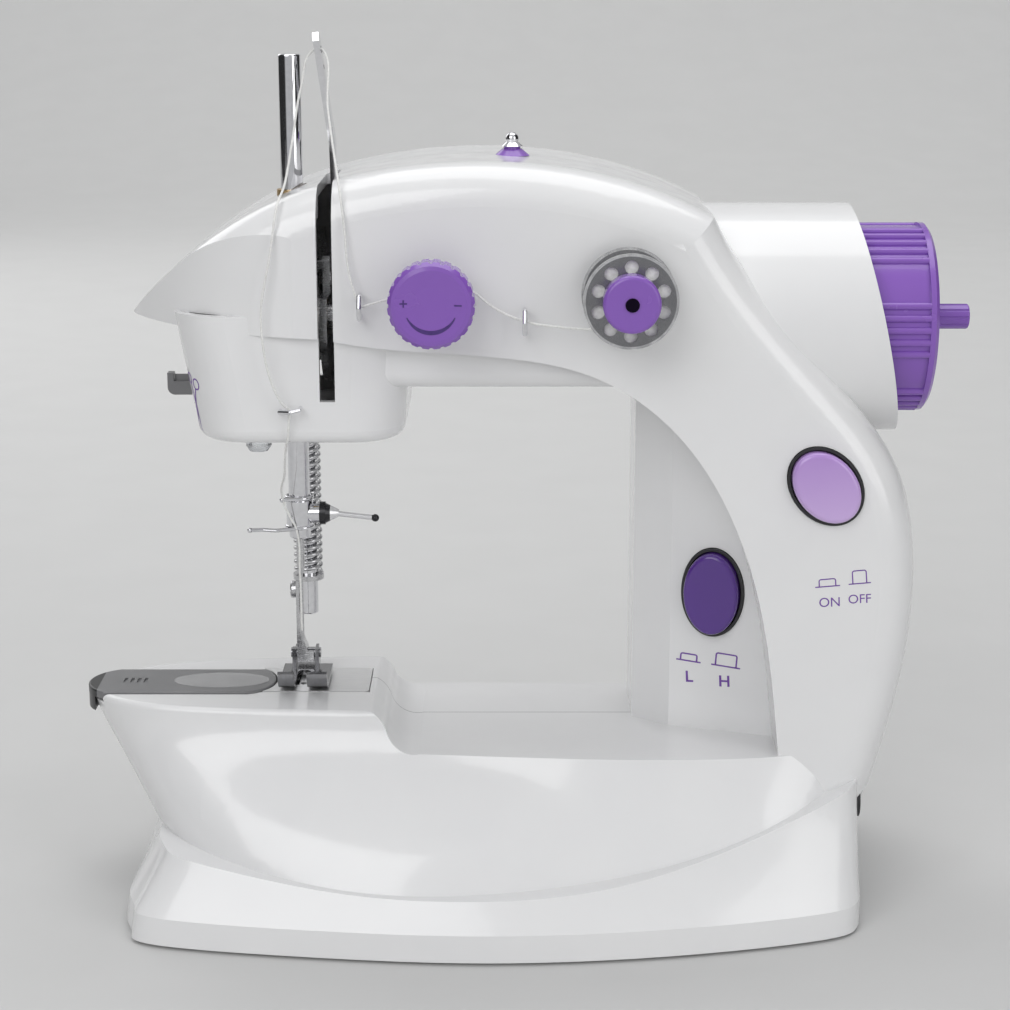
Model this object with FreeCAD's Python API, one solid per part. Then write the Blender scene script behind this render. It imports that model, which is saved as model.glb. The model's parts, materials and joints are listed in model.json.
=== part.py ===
import FreeCAD, Part
import math
import os
from FreeCAD import Vector

# Compact electric sewing machine.  Millimetres, +Z up.
# The origin is on the table, under the middle of the machine's box.
# -X is the needle end, +X the hand wheel, -Y the operator's side.
# The two white shells meet at Y = 0.

# ---- driving dimensions -------------------------------------------------
WALL = 2.3                  # shell thickness
MACHINE_HALF_LENGTH = 103.3
BASE_HALF_DEPTH = 58.0
ARM_HALF_DEPTH = 30.0
CORE_HALF_DEPTH = 25.5      # lower part of the arm, stepped back
HEAD_HALF_DEPTH = 28.0

PLATE_Z = 47.8              # top of the raised needle end of the bed
BED_Z = 39.0                # lower part of the bed
ARM_BOTTOM_Z = 123.3
HEAD_BOTTOM_Z = 111.3

SHAFT_Z = 135.7             # main shaft and hand wheel axis, at Y = 0
SHAFT_R = 3.0
CRANK_THROW = 12.0          # half of the needle bar's stroke

NEEDLE_X = -51.9
NEEDLE_Y = -5.0
NEEDLE_BAR_R = 2.5
NEEDLE_BAR_TOP = 195.5
NEEDLE_BAR_BOTTOM = 84.2
NEEDLE_TIP_Z = 57.0

PRESSER_X = -51.0
PRESSER_Y = 4.6
PRESSER_BAR_R = 2.2
PRESSER_BAR_BOTTOM = 62.9
PRESSER_BAR_TOP = 152.0
SPRING_LOW = 72.7
SPRING_WIRE = 0.9
SPRING_R = 3.05             # to the middle of the wire

LEVER_X = -42.7             # thread take-up lever
LEVER_PIVOT_Y = 6.0
LEVER_PIVOT_Z = 143.0
LEVER_LENGTH = 59.5
LEVER_REST_ANGLE = 15.0     # degrees forward of upright
LEVER_BEND = 34.0           # up the blade, where it starts to lean
LEVER_LEAN = 6.5            # degrees towards the needle end

LOWER_Y = -5.0              # lower shaft under the bed
LOWER_Z = 33.0
LOWER_SHAFT_R = 2.5
HOOK_R = 11.6

MOTOR_Z = 111.7
MOTOR_R = 10.5

WHEEL_R = 21.75
WHEEL_LEFT = 72.6
WHEEL_LIP = 92.0
WHEEL_FACE = 94.4
SPINDLE_R = 2.9

COWL_R = 26.2
CREST_ROUND = 9.0

TENSION_X = -19.4
TENSION_Z = 145.0
SPOOL_X = 22.8
SPOOL_Z = 145.9
BOBBIN_R = 10.15
BOBBIN_WIDTH = 11.6

POWER_X = 67.4
POWER_Z = 102.4
SPEED_X = 44.6
SPEED_Z = 72.8

FIT = 0.05                  # running fit of a shaft in its bush
GAP = 0.3                   # free gap between moving neighbours

X_AXIS = Vector(1, 0, 0)
Y_AXIS = Vector(0, 1, 0)
Z_AXIS = Vector(0, 0, 1)
PARTS = {}


# ---- helpers ------------------------------------------------------------
def box(x0, x1, y0, y1, z0, z1):
    return Part.makeBox(x1 - x0, y1 - y0, z1 - z0, Vector(x0, y0, z0))


def rod_x(r, x0, x1, y, z):
    return Part.makeCylinder(r, x1 - x0, Vector(x0, y, z), X_AXIS)


def rod_y(r, y0, y1, x, z):
    return Part.makeCylinder(r, y1 - y0, Vector(x, y0, z), Y_AXIS)


def rod_z(r, z0, z1, x, y):
    return Part.makeCylinder(r, z1 - z0, Vector(x, y, z0), Z_AXIS)


def fuse(shapes):
    """One solid from several that touch."""
    solid = shapes[0]
    for other in shapes[1:]:
        solid = solid.fuse(other)
    return solid.removeSplitter()


def curve(points):
    spline = Part.BSplineCurve()
    spline.interpolate(points)
    return spline.toShape()


def loop(points):
    """Smooth closed outline with evenly spread knots, so that stacked loops match."""
    count = len(points)
    knots = [index / count for index in range(count + 1)]
    spline = Part.BSplineCurve()
    spline.interpolate(Points=points, PeriodicFlag=True, Parameters=knots)
    return Part.Wire([spline.toShape()])


def slab_y(edges, y0, y1):
    """Solid from a closed outline in a plane of constant Y."""
    face = Part.Face(Part.Wire(edges))
    face.translate(Vector(0, y0, 0))
    return face.extrude(Vector(0, y1 - y0, 0))


def polygon(points):
    return Part.makePolygon(points + [points[0]])


def prism(points, direction):
    return Part.Face(polygon(points)).extrude(direction)


def round_edges(solid, radius, wanted):
    """Round the edges that wanted(edge) picks; leave them sharp if that fails."""
    edges = [edge for edge in solid.Edges if wanted(edge)]
    if not edges:
        return solid
    try:
        rounded = solid.makeFillet(radius, edges)
    except Exception:
        return solid
    if rounded.isValid() and rounded.Volume > 0:
        return rounded
    return solid


def is_circle(edge):
    return isinstance(edge.Curve, Part.Circle)


def ball(r, x, y, z):
    return Part.makeSphere(r, Vector(x, y, z))


def wire_rod(points, r):
    """Bent round wire: straight runs with a ball at each bend."""
    pieces = []
    for start, end in zip(points, points[1:]):
        run = end - start
        pieces.append(Part.makeCylinder(r, run.Length, start, run))
    for point in points[1:-1]:
        pieces.append(Part.makeSphere(r, point))
    return fuse(pieces)


def turned(profile, base, axis):
    """Body of revolution: profile is (distance along the axis, radius)."""
    points = [Vector(r, 0, a) for a, r in profile]
    solid = Part.Face(polygon(points)).revolve(Vector(0, 0, 0), Z_AXIS, 360)
    turn = FreeCAD.Rotation(Z_AXIS, axis)
    solid.Placement = FreeCAD.Placement(base, turn)
    return solid


def group(shapes):
    return Part.makeCompound(shapes)


def keep(name, shape):
    PARTS[name] = shape


# ---- outer shapes of the white shells -----------------------------------
def xz(points):
    return [Vector(x, 0, z) for x, z in points]


ARM_CREST = [(-89.5, 137.2), (-74.5, 151.8), (-54.5, 164.4), (-30.0, 171.5), (-5.0, 173.1),
             (19.0, 170.0), (42.0, 161.3)]
ARM_BACK = [(52.7, 144.7), (71.5, 123.0), (84.5, 105.0), (89.1, 84.0), (87.6, 58.0), (83.2, 38.0),
            (79.5, 24.0)]
ARM_RIDGE = [(60.5, 24.0), (58.2, 44.0), (54.6, 70.0), (46.2, 96.0), (33.4, 114.9), (16.5, 126.6),
             (-6.0, 131.4), (-43.5, 135.3)]


def arm_face(inset):
    """Side view of the crescent, every edge moved inwards by the inset."""
    points = xz(ARM_CREST + ARM_BACK + ARM_RIDGE)
    moved = []
    for before, point, after in zip(points[-1:] + points[:-1], points, points[1:] + points[:1]):
        arrive = (point - before).normalize()
        leave = (after - point).normalize()
        inward = Vector(arrive.z + leave.z, 0, -arrive.x - leave.x)
        moved.append(point + inward * (inset / (1 + arrive.dot(leave))))
    corner = len(ARM_CREST) - 1
    foot = corner + len(ARM_BACK)
    edges = [curve(moved[:corner + 1]), curve(moved[corner:foot + 1]),
             Part.makeLine(moved[foot], moved[foot + 1]), curve(moved[foot + 1:]),
             Part.makeLine(moved[-1], moved[0])]
    return Part.Face(Part.Wire(edges))


def arm_sweep(inset):
    """The crescent that runs from the needle end, over the arm, to the base."""
    if not inset:
        solid = round_edges(deepened(arm_face(0.0), ARM_HALF_DEPTH), CREST_ROUND, on_crest)
        return solid.common(nose_plan(0.0))
    # the hollow is stepped where the outside is rounded, so that the wall stays whole
    narrow = deepened(arm_face(inset), ARM_HALF_DEPTH - inset - 5.0)
    low = deepened(arm_face(inset + 4.2), ARM_HALF_DEPTH - inset)
    return narrow.fuse(low).common(nose_plan(inset))


def deepened(face, half):
    """Solid from an outline at Y = 0, made equally deep to both sides."""
    solid = face.extrude(Vector(0, 2 * half, 0))
    solid.translate(Vector(0, -half, 0))
    return solid


def on_crest(edge):
    """Long edges of the outer side of the crescent."""
    box_of_edge = edge.BoundBox
    flat = box_of_edge.YLength < 0.01
    high = box_of_edge.ZMax > 160 and box_of_edge.XLength > 30
    return flat and high


def nose_plan(inset):
    """The needle end seen from above is a blunt rounded nose."""
    half = ARM_HALF_DEPTH - inset
    tip = -89.5 + inset
    front = [Vector(-50, -half, 100), Vector(-70.5, -half * 0.78, 100),
             Vector(-83.0, -half * 0.42, 100), Vector(tip, 0, 100)]
    rear = [Vector(p.x, -p.y, p.z) for p in reversed(front[:-1])]
    nose = curve(front + rear)
    sides = Part.makePolygon([rear[-1], Vector(100, half, 100), Vector(100, -half, 100), front[0]])
    face = Part.Face(Part.Wire([nose] + sides.Edges))
    face.translate(Vector(0, 0, -90))
    return face.extrude(Vector(0, 0, 190))


def head_block(inset):
    """The lower, rounded part of the head that carries the needle bar."""
    sections = []
    for z, left, right in ((HEAD_BOTTOM_Z + inset, -72.6, -26.4), (140.0, -77.8, -25.0)):
        half = HEAD_HALF_DEPTH - inset
        plan = box(left + inset, right - inset, -half, half, z, z + 1)
        plan = plan.makeFillet(12.0 - inset, [e for e in plan.Edges if e.BoundBox.ZLength > 0.5])
        wires = [f.OuterWire for f in plan.Faces if f.BoundBox.ZLength < 0.01 and f.BoundBox.ZMin < z + 0.1]
        sections.append(wires[0])
    solid = Part.makeLoft(sections, True, True)
    if not inset:
        solid = round_edges(solid, 3.0, lambda e: e.BoundBox.ZMax < HEAD_BOTTOM_Z + 0.1)
    return solid


def arm_core(inset):
    half = CORE_HALF_DEPTH - inset
    solid = box(-45, 34, -half, half, ARM_BOTTOM_Z + inset, 145)
    if not inset:
        solid = round_edges(solid, 4.0, lambda e: e.BoundBox.ZMax < ARM_BOTTOM_Z + 0.1
                            and e.BoundBox.XLength > 50)
    return solid.common(nose_plan(inset))


def column_core(inset):
    """The column inside the crescent, with a slanted recessed front."""
    plan = [Vector(26.6 + inset, -2.5, 30), Vector(35.0 + inset * 0.6, -9.2 + inset, 30),
            Vector(62.0, -18.0 + inset, 30), Vector(62.0, 18.0 - inset, 30),
            Vector(26.6 + inset, 18.0 - inset, 30)]
    return prism(plan, Vector(0, 0, 100))


def cowl(inset):
    """Round housing of the hand wheel end, cut off at a slant."""
    body = rod_x(COWL_R - inset, 38, 92, 0, SHAFT_Z)
    slant = prism([Vector(74.4, -40, 163), Vector(86.8, -40, 108), Vector(120, -40, 108),
                   Vector(120, -40, 163)], Vector(0, 80, 0))
    if inset:
        slant.translate(Vector(-4.0, 0, 0))
    return body.cut(slant)


def hull_section(z, left, right, front, front_right, rear, inset):
    """Boat-shaped outline of the bed at one height."""
    half_in = inset * 0.9
    middle = (front + rear) / 2
    reach = middle - front - half_in
    reach_right = middle - front_right - half_in
    back = rear - middle - half_in
    left = left + inset * 1.3
    right = right - inset
    length = right - left
    side = [(0.0, 0.0), (0.035, 0.50), (0.15, 0.86), (0.38, 1.0), (0.64, 1.0), (0.86, 0.94), (0.97, 0.58)]
    front_half = [(t, -w * (reach if t < 0.5 else reach_right)) for t, w in side]
    rear_half = [(t, w * back) for t, w in reversed(side[1:])]
    outline = front_half + [(1.0, 0.0)] + rear_half
    return loop([Vector(left + t * length, middle + y, z) for t, y in outline])


def hull(inset):
    """Upper part of the base: narrower towards the needle end, whose top is raised."""
    levels = [(8.0, -83.0, 78.0, -52.0, -47.0, 52.0), (20.0, -89.5, 79.6, -46.5, -43.5, 46.0),
              (30.0, -94.8, 82.0, -37.5, -37.5, 34.5), (BED_Z, -99.4, 84.0, -28.6, -32.5, 22.0),
              (PLATE_Z - inset, -103.0, 85.6, -25.6, -30.0, 17.4)]
    sections = [hull_section(*level, inset) for level in levels]
    solid = Part.makeLoft(sections, True, False).cut(bed_step(inset))
    if not inset:
        solid = round_edges(solid, 1.2, lambda e: e.BoundBox.ZMin > PLATE_Z - 0.05)
    return solid


def bed_step(inset):
    """What is taken away above the lower bed, with an S-shaped step at its left."""
    low = BED_Z - inset
    step_top = Part.Arc(Vector(-37.0, 0, low + 9.5), Vector(-33.0, 0, low + 7.6), Vector(-31.2, 0, low + 4.6))
    step_low = Part.Arc(Vector(-31.2, 0, low + 4.6), Vector(-28.6, 0, low + 1.0), Vector(-23.5, 0, low))
    edges = [step_top.toShape(), step_low.toShape()]
    edges += Part.makePolygon([Vector(-23.5, 0, low), Vector(120, 0, low), Vector(120, 0, low + 30),
                               Vector(-37.0, 0, low + 30), Vector(-37.0, 0, low + 9.5)]).Edges
    step = slab_y(edges, -80, 80)
    step.translate(Vector(-inset, 0, 0))
    return step


def skirt_section(z, left, right, depth, inset):
    left = left + inset
    right = right - inset
    depth = depth - inset
    front = [(left, 0.0), (left, -0.32 * depth), (left, -0.58 * depth), (left + 2.4, -0.72 * depth),
             (left + 9.0, -0.84 * depth), (-46.0, -0.95 * depth), (-5.0, -depth), (36.0, -0.93 * depth),
             (right - 11.0, -0.80 * depth), (right - 2.0, -0.70 * depth), (right, -0.56 * depth),
             (right, -0.3 * depth)]
    rear = [(x, -y) for x, y in reversed(front[1:])]
    return loop([Vector(x, y, z) for x, y in front + [(right, 0.0)] + rear])


def skirt(inset):
    """Flared foot of the base."""
    levels = [(0.0, -91.4, 78.2, BASE_HALF_DEPTH), (7.0, -90.4, 78.2, BASE_HALF_DEPTH - 0.6),
              (14.0, -86.4, 78.0, 52.6), (24.0, -81.8, 77.8, 48.0), (36.0, -78.5, 77.6, 45.5)]
    sections = [skirt_section(*level, inset) for level in levels]
    lower = Part.makeLoft(sections[:2], True, True)
    upper = Part.makeLoft(sections[1:], True, False)
    return lower.fuse(upper)


def above_crease(inset):
    """Everything above the smile-shaped crease between hull and foot."""
    crease = curve(xz([(-110, 20.5), (-72, 18.0), (-42, 14.2), (-12, 13.2), (22, 15.6), (58, 25.5),
                       (96, 42)]))
    sides = Part.makePolygon([Vector(96, 0, 42), Vector(120, 0, 42), Vector(120, 0, 300),
                              Vector(-110, 0, 300), Vector(-110, 0, 20.5)])
    region = slab_y([crease] + sides.Edges, -90, 90)
    region.translate(Vector(0, 0, -inset))
    return region


def body(inset):
    region = above_crease(inset)
    foot = skirt(inset)
    solid = hull(inset).common(region)
    solid = solid.fuse(foot.cut(region))
    for piece in (column_core(inset), arm_core(inset), head_block(inset),
                  cowl(inset), arm_sweep(inset)):
        solid = solid.fuse(piece)
    return solid


# ---- shells, covers and feet --------------------------------------------
BOTTOM_Z = 0.8              # underside of the shells and of the bottom cover
COVER_TOP = 3.2
DOOR = (-57.0, 55.0, -20.0, 20.0)   # battery door: X0, X1, Y0, Y1
SCREWS = ((-70.0, -32.0), (-70.0, 32.0), (64.0, -30.0), (64.0, 30.0))
REAR_SCREWS = ((-62.0, 128.0, 28.0), (0.0, 150.0, 30.0), (76.0, 60.0, 30.0))
JACK_Y = -24.0
JACKS = ((12.0, 2.85), (26.0, 1.8))     # height and bore radius: power, pedal
SOCKET_END = 78.4
SPEED_FACE_Y = -12.3
SPEED_TURN = -18.0
POWER_FACE_Y = -30.0


def oval(cx, cz, half_wide, half_high, turn, y0, y1):
    """Upright oval plug along Y, for a button, its ring or its hole."""
    ellipse = Part.Ellipse(Vector(0, 0, 0), half_high, half_wide)
    face = Part.Face(Part.Wire([ellipse.toShape()]))
    solid = face.extrude(Vector(0, 0, y1 - y0))
    solid.rotate(Vector(0, 0, 0), Z_AXIS, 90)
    solid.rotate(Vector(0, 0, 0), X_AXIS, -90)
    solid.rotate(Vector(0, 0, 0), Y_AXIS, turn)
    solid.translate(Vector(cx, y0, cz))
    return solid


def speed_placed(solid):
    """Turn a plug built at the speed button square on to the slanted recess."""
    solid.rotate(Vector(SPEED_X, SPEED_FACE_Y, SPEED_Z), Z_AXIS, SPEED_TURN)
    return solid


def speed_oval(grow, out, inward):
    return speed_placed(oval(SPEED_X, SPEED_Z, 7.0 + grow, 10.2 + grow, 0.0,
                             SPEED_FACE_Y - out, SPEED_FACE_Y + inward))


def power_oval(grow, out, inward):
    return oval(POWER_X, POWER_Z, 7.2 + grow, 9.4 + grow, -40.0,
                POWER_FACE_Y - out, POWER_FACE_Y + inward)


def bobbin_cover_plan(grow, z0, z1):
    """Outline of the sliding bobbin cover, seen from above."""
    front = -12.1 - grow
    rear = 5.1 + grow
    straight = [Vector(-61.5, rear, z0), Vector(-97.0, rear, z0)]
    tip = Vector(-MACHINE_HALF_LENGTH - grow, -3.6, z0)
    tail = Part.Arc(straight[1], tip, Vector(-98.5, front, z0)).toShape()
    nose = curve([Vector(-64.5, front, z0), Vector(-59.8 + grow, -8.4, z0),
                  Vector(-58.6 + grow, -3.4, z0), straight[0]])
    edges = [Part.makeLine(straight[0], straight[1]), tail,
             Part.makeLine(Vector(-98.5, front, z0), Vector(-64.5, front, z0)), nose]
    return Part.Face(Part.Wire(Part.__sortEdges__(edges))).extrude(Vector(0, 0, z1 - z0))


def shell_openings():
    """Everything that is cut through the two white shells."""
    cover_slot = bobbin_cover_plan(0.35, 45.9, 52)
    slide_way = box(-110, -75, -12.45, 5.45, 45.9, 52)
    lip_notch = box(-110, -100.6, -12.45, 5.45, 42.6, 52)
    hook_well = box(-96, -53.0, -11.0, 4.0, 44, 52)
    plate_well = box(-62.2, -35.8, -10.9, 7.0, 44, 52)
    feed_well = box(-58.0, -41.5, 3.0, 12.0, 44, 46.4)
    lever_slot = box(LEVER_X - 2.0, LEVER_X + 1.4, -40, 4, 121, 180)
    wheel_pocket = rod_x(WHEEL_R + 1.0, 71.0, 110, 0, SHAFT_Z)
    lifter_slot = box(PRESSER_X - 3.2, PRESSER_X + 3.2, 20, 40, 117, 136)
    needle_hole = rod_z(3.5, 100, 185, NEEDLE_X, NEEDLE_Y)
    presser_hole = rod_z(3.4, 100, 125, PRESSER_X, PRESSER_Y)
    lamp_hole = rod_z(3.0, 105, 118, -59.3, -20.0)
    post_hole = rod_y(2.0, -40, -20, TENSION_X, TENSION_Z)
    pin_hole = rod_y(1.5, -40, -20, SPOOL_X, SPOOL_Z)
    guide_hole = rod_z(1.2, 160, 180, -2.2, -3.0)
    gear_room = rod_x(20.5, 33.5, 40.6, 0, SHAFT_Z)
    jacks = [rod_x(4.0, 68, 100, JACK_Y, z) for z, bore in JACKS]
    return [cover_slot, slide_way, lip_notch, hook_well, plate_well, feed_well, lever_slot, wheel_pocket,
            lifter_slot, needle_hole, presser_hole, lamp_hole, post_hole, pin_hole, guide_hole, gear_room,
            speed_oval(0.55, 4, 8), power_oval(0.55, 5, 8)] + jacks


def screw_posts():
    """Bosses inside the shells: four for the bottom screws, three across the seam."""
    upright = [rod_z(3.6, COVER_TOP, 34, x, y) for x, y in SCREWS]
    across = [rod_y(3.2, -depth + 1.5, depth - 1.5, x, z) for x, z, depth in REAR_SCREWS]
    return upright + across


def rear_screw_hole(x, z, depth):
    head = rod_y(2.6, depth - 2.4, depth + 5, x, z)
    return head.fuse(rod_y(1.3, depth - 14, depth, x, z))


def shells():
    outer = body(0.0)
    inside = body(WALL).common(box(-200, 200, -200, 200, COVER_TOP, 300))
    rebate = skirt(WALL).common(box(-200, 200, -200, 200, -1, COVER_TOP))
    walls = outer.cut(inside).cut(rebate)
    walls = walls.cut(box(-200, 200, -200, 200, -10, BOTTOM_Z))
    walls = walls.fuse([post.common(outer) for post in screw_posts()])
    walls = walls.cut(shell_openings())
    walls = walls.cut([rod_z(1.3, 0, 13, x, y) for x, y in SCREWS])
    walls = walls.cut([rear_screw_hole(*place) for place in REAR_SCREWS])
    keep("front_shell", biggest(walls.common(box(-200, 200, -200, 0, -10, 300))))
    keep("rear_shell", biggest(walls.common(box(-200, 200, 0, 200, -10, 300))))


def biggest(shape):
    return max(shape.Solids, key=lambda solid: solid.Volume)


def bottom():
    """Bottom cover with a rebated battery door, four rubber feet and the screws."""
    x0, x1, y0, y1 = DOOR
    cover = skirt(WALL + 0.15).common(box(-200, 200, -200, 200, BOTTOM_Z, COVER_TOP - 0.1))
    cover = cover.cut(box(x0, x1, y0, y1, 0, 6))
    feet = []
    screws = []
    for x, y in SCREWS:
        inward = 12.0 if x < 0 else -12.0
        cover = cover.cut(rod_z(6.1, 0, 1.6, x + inward, y))
        cover = cover.cut(rod_z(1.7, 0, 6, x, y)).cut(rod_z(2.9, 0, 2.0, x, y))
        feet.append(round_edges(rod_z(6.0, 0, 1.6, x + inward, y), 0.4, lambda e: e.BoundBox.ZMax < 0.1))
        screws.append(rod_z(2.6, 1.0, 1.95, x, y).fuse(rod_z(1.25, 1.9, 11, x, y)).removeSplitter())
    for x, z, depth in REAR_SCREWS:
        head = rod_y(2.4, depth - 2.35, depth - 0.9, x, z)
        head = head.cut(box(x - 1.7, x + 1.7, depth - 1.7, depth, z - 0.3, z + 0.3))
        head = head.cut(box(x - 0.3, x + 0.3, depth - 1.7, depth, z - 1.7, z + 1.7))
        screws.append(head.fuse(rod_y(1.25, depth - 12, depth - 2.3, x, z)).removeSplitter())
    keep("bottom_cover", cover)
    keep("rubber_feet", group(feet))
    keep("case_screws", group(screws))
    door = box(x0 + 0.3, x1 - 0.3, y0 + 0.3, y1 - 0.3, BOTTOM_Z, COVER_TOP - 0.1)
    door = round_edges(door, 1.5, lambda e: e.BoundBox.ZLength > 2)
    for step in range(5):
        door = door.cut(box(x1 - 14 + 2 * step, x1 - 13 + 2 * step, -8, 8, 0, BOTTOM_Z + 0.5))
    keep("battery_door", door)


def power_supply():
    """Four AA cells in a tray, the spring contacts and the two sockets."""
    cells = []
    contacts = []
    for x in (-27.0, 25.5):
        for y in (-8.0, 8.0):
            cell = rod_x(7.2, x - 24.6, x + 24.6, y, 11.6)
            cells.append(fuse([cell, rod_x(2.7, x + 24.5, x + 25.4, y, 11.6)]))
        for end in (x - 25.7, x + 25.5):
            contacts.append(box(end, end + 0.4, -13, 13, 6, 17))
    keep("batteries", group(cells))
    tray = box(-56, 54.5, -17.6, 17.6, COVER_TOP + 0.2, 20.6)
    tray = tray.cut(box(-54.2, 53.0, -16, 16, 0, 19.4))
    keep("battery_tray", group([tray] + contacts))
    sockets = []
    for z, bore in JACKS:
        barrel = rod_x(3.9, 68.5, SOCKET_END, JACK_Y, z)
        sockets.append(barrel.cut(rod_x(bore, 70.0, 80.0, JACK_Y, z)))
    keep("sockets", group(sockets))


# ---- needle bar, presser bar and take-up lever --------------------------
YOKE_X = (-47.9, -46.1)
CRANK_X = (-45.5, -43.9)
CLAMP_Z = 90.0


def needle_bar_group():
    bar = rod_z(NEEDLE_BAR_R, NEEDLE_BAR_BOTTOM, NEEDLE_BAR_TOP, NEEDLE_X, NEEDLE_Y)
    bar = round_edges(bar, 0.5, is_circle)
    bar = bar.cut(rod_z(1.0, 80, 97, NEEDLE_X, NEEDLE_Y)).cut(rod_x(1.2, NEEDLE_X, -45, NEEDLE_Y, CLAMP_Z))
    keep("needle_bar", bar)

    middle = SHAFT_Z + CRANK_THROW
    hub = rod_z(4.0, middle - 6, middle + 6, NEEDLE_X, NEEDLE_Y)
    hub = hub.cut(box(-60, -40, NEEDLE_Y + 3.0, 10, 100, 200))
    arm = box(NEEDLE_X, YOKE_X[0] + 0.1, NEEDLE_Y - 3, NEEDLE_Y + 3, middle - 6, middle + 6)
    plate = box(YOKE_X[0], YOKE_X[1], -16.5, 16.5, middle - 6.8, middle + 6.8)
    plate = plate.cut(box(-60, -40, -14.2, 14.2, middle - 4.4, middle + 4.4))
    yoke = fuse([hub, arm, plate]).cut(rod_z(NEEDLE_BAR_R, 100, 200, NEEDLE_X, NEEDLE_Y))
    keep("needle_bar_yoke", yoke)

    collar = rod_z(3.1, CLAMP_Z - 2.6, CLAMP_Z + 3.2, NEEDLE_X, NEEDLE_Y)
    boss = rod_x(2.3, NEEDLE_X, -47.2, NEEDLE_Y, CLAMP_Z)
    collar = fuse([collar, boss]).cut(rod_z(NEEDLE_BAR_R, 80, 100, NEEDLE_X, NEEDLE_Y))
    collar = collar.cut(rod_x(1.2, NEEDLE_X, -40, NEEDLE_Y, CLAMP_Z))
    screw = turned([(0, 0), (0, 1.15), (3.2, 1.15), (3.2, 2.7), (4.5, 2.7), (4.5, 2.4), (7.6, 0.85),
                    (7.6, 0)], Vector(NEEDLE_X + 1.6, NEEDLE_Y, CLAMP_Z), X_AXIS)
    handle = wire_rod([Vector(-44.5, NEEDLE_Y, CLAMP_Z), Vector(-34.2, NEEDLE_Y, CLAMP_Z - 1.2)], 0.62)
    keep("needle_clamp_screw", fuse([screw, handle, ball(0.9, -34.2, NEEDLE_Y, CLAMP_Z - 1.2)]))

    shank = rod_z(0.95, NEEDLE_TIP_Z + 20, 96, NEEDLE_X, NEEDLE_Y)
    taper = Part.makeCone(0.45, 0.95, 2.0, Vector(NEEDLE_X, NEEDLE_Y, NEEDLE_TIP_Z + 18))
    blade = rod_z(0.45, NEEDLE_TIP_Z + 3, NEEDLE_TIP_Z + 18, NEEDLE_X, NEEDLE_Y)
    tip = Part.makeCone(0.05, 0.45, 3.0, Vector(NEEDLE_X, NEEDLE_Y, NEEDLE_TIP_Z))
    needle = fuse([shank, taper, blade, tip])
    needle = needle.cut(rod_y(0.2, -10, 0, NEEDLE_X, NEEDLE_TIP_Z + 4.5))
    keep("needle", needle)

    upper = ring_wire(94.0, [Vector(-3.7, -3.3, -0.1)])
    lower = ring_wire(87.0, [Vector(-5.2, -4.6, -0.1), Vector(-8.0, -6.2, 0.5), Vector(-11.0, -6.6, 0.5)])
    keep("needle_clamp", group([collar, upper, lower]))


def ring_wire(z, tail):
    """Wire wrapped round the needle bar, with a free end to the left."""
    ring = Part.makeTorus(NEEDLE_BAR_R + 0.5, 0.45, Vector(NEEDLE_X, NEEDLE_Y, z), Z_AXIS)
    start = Vector(NEEDLE_X, NEEDLE_Y - NEEDLE_BAR_R - 0.5, z)
    centre = Vector(NEEDLE_X, NEEDLE_Y, z)
    run = wire_rod([start] + [centre + point for point in tail], 0.45)
    end = centre + tail[-1]
    wire = fuse([ring, run, ball(0.62, end.x, end.y, end.z)])
    return wire.cut(rod_z(NEEDLE_BAR_R, z - 3, z + 3, NEEDLE_X, NEEDLE_Y))


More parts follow.
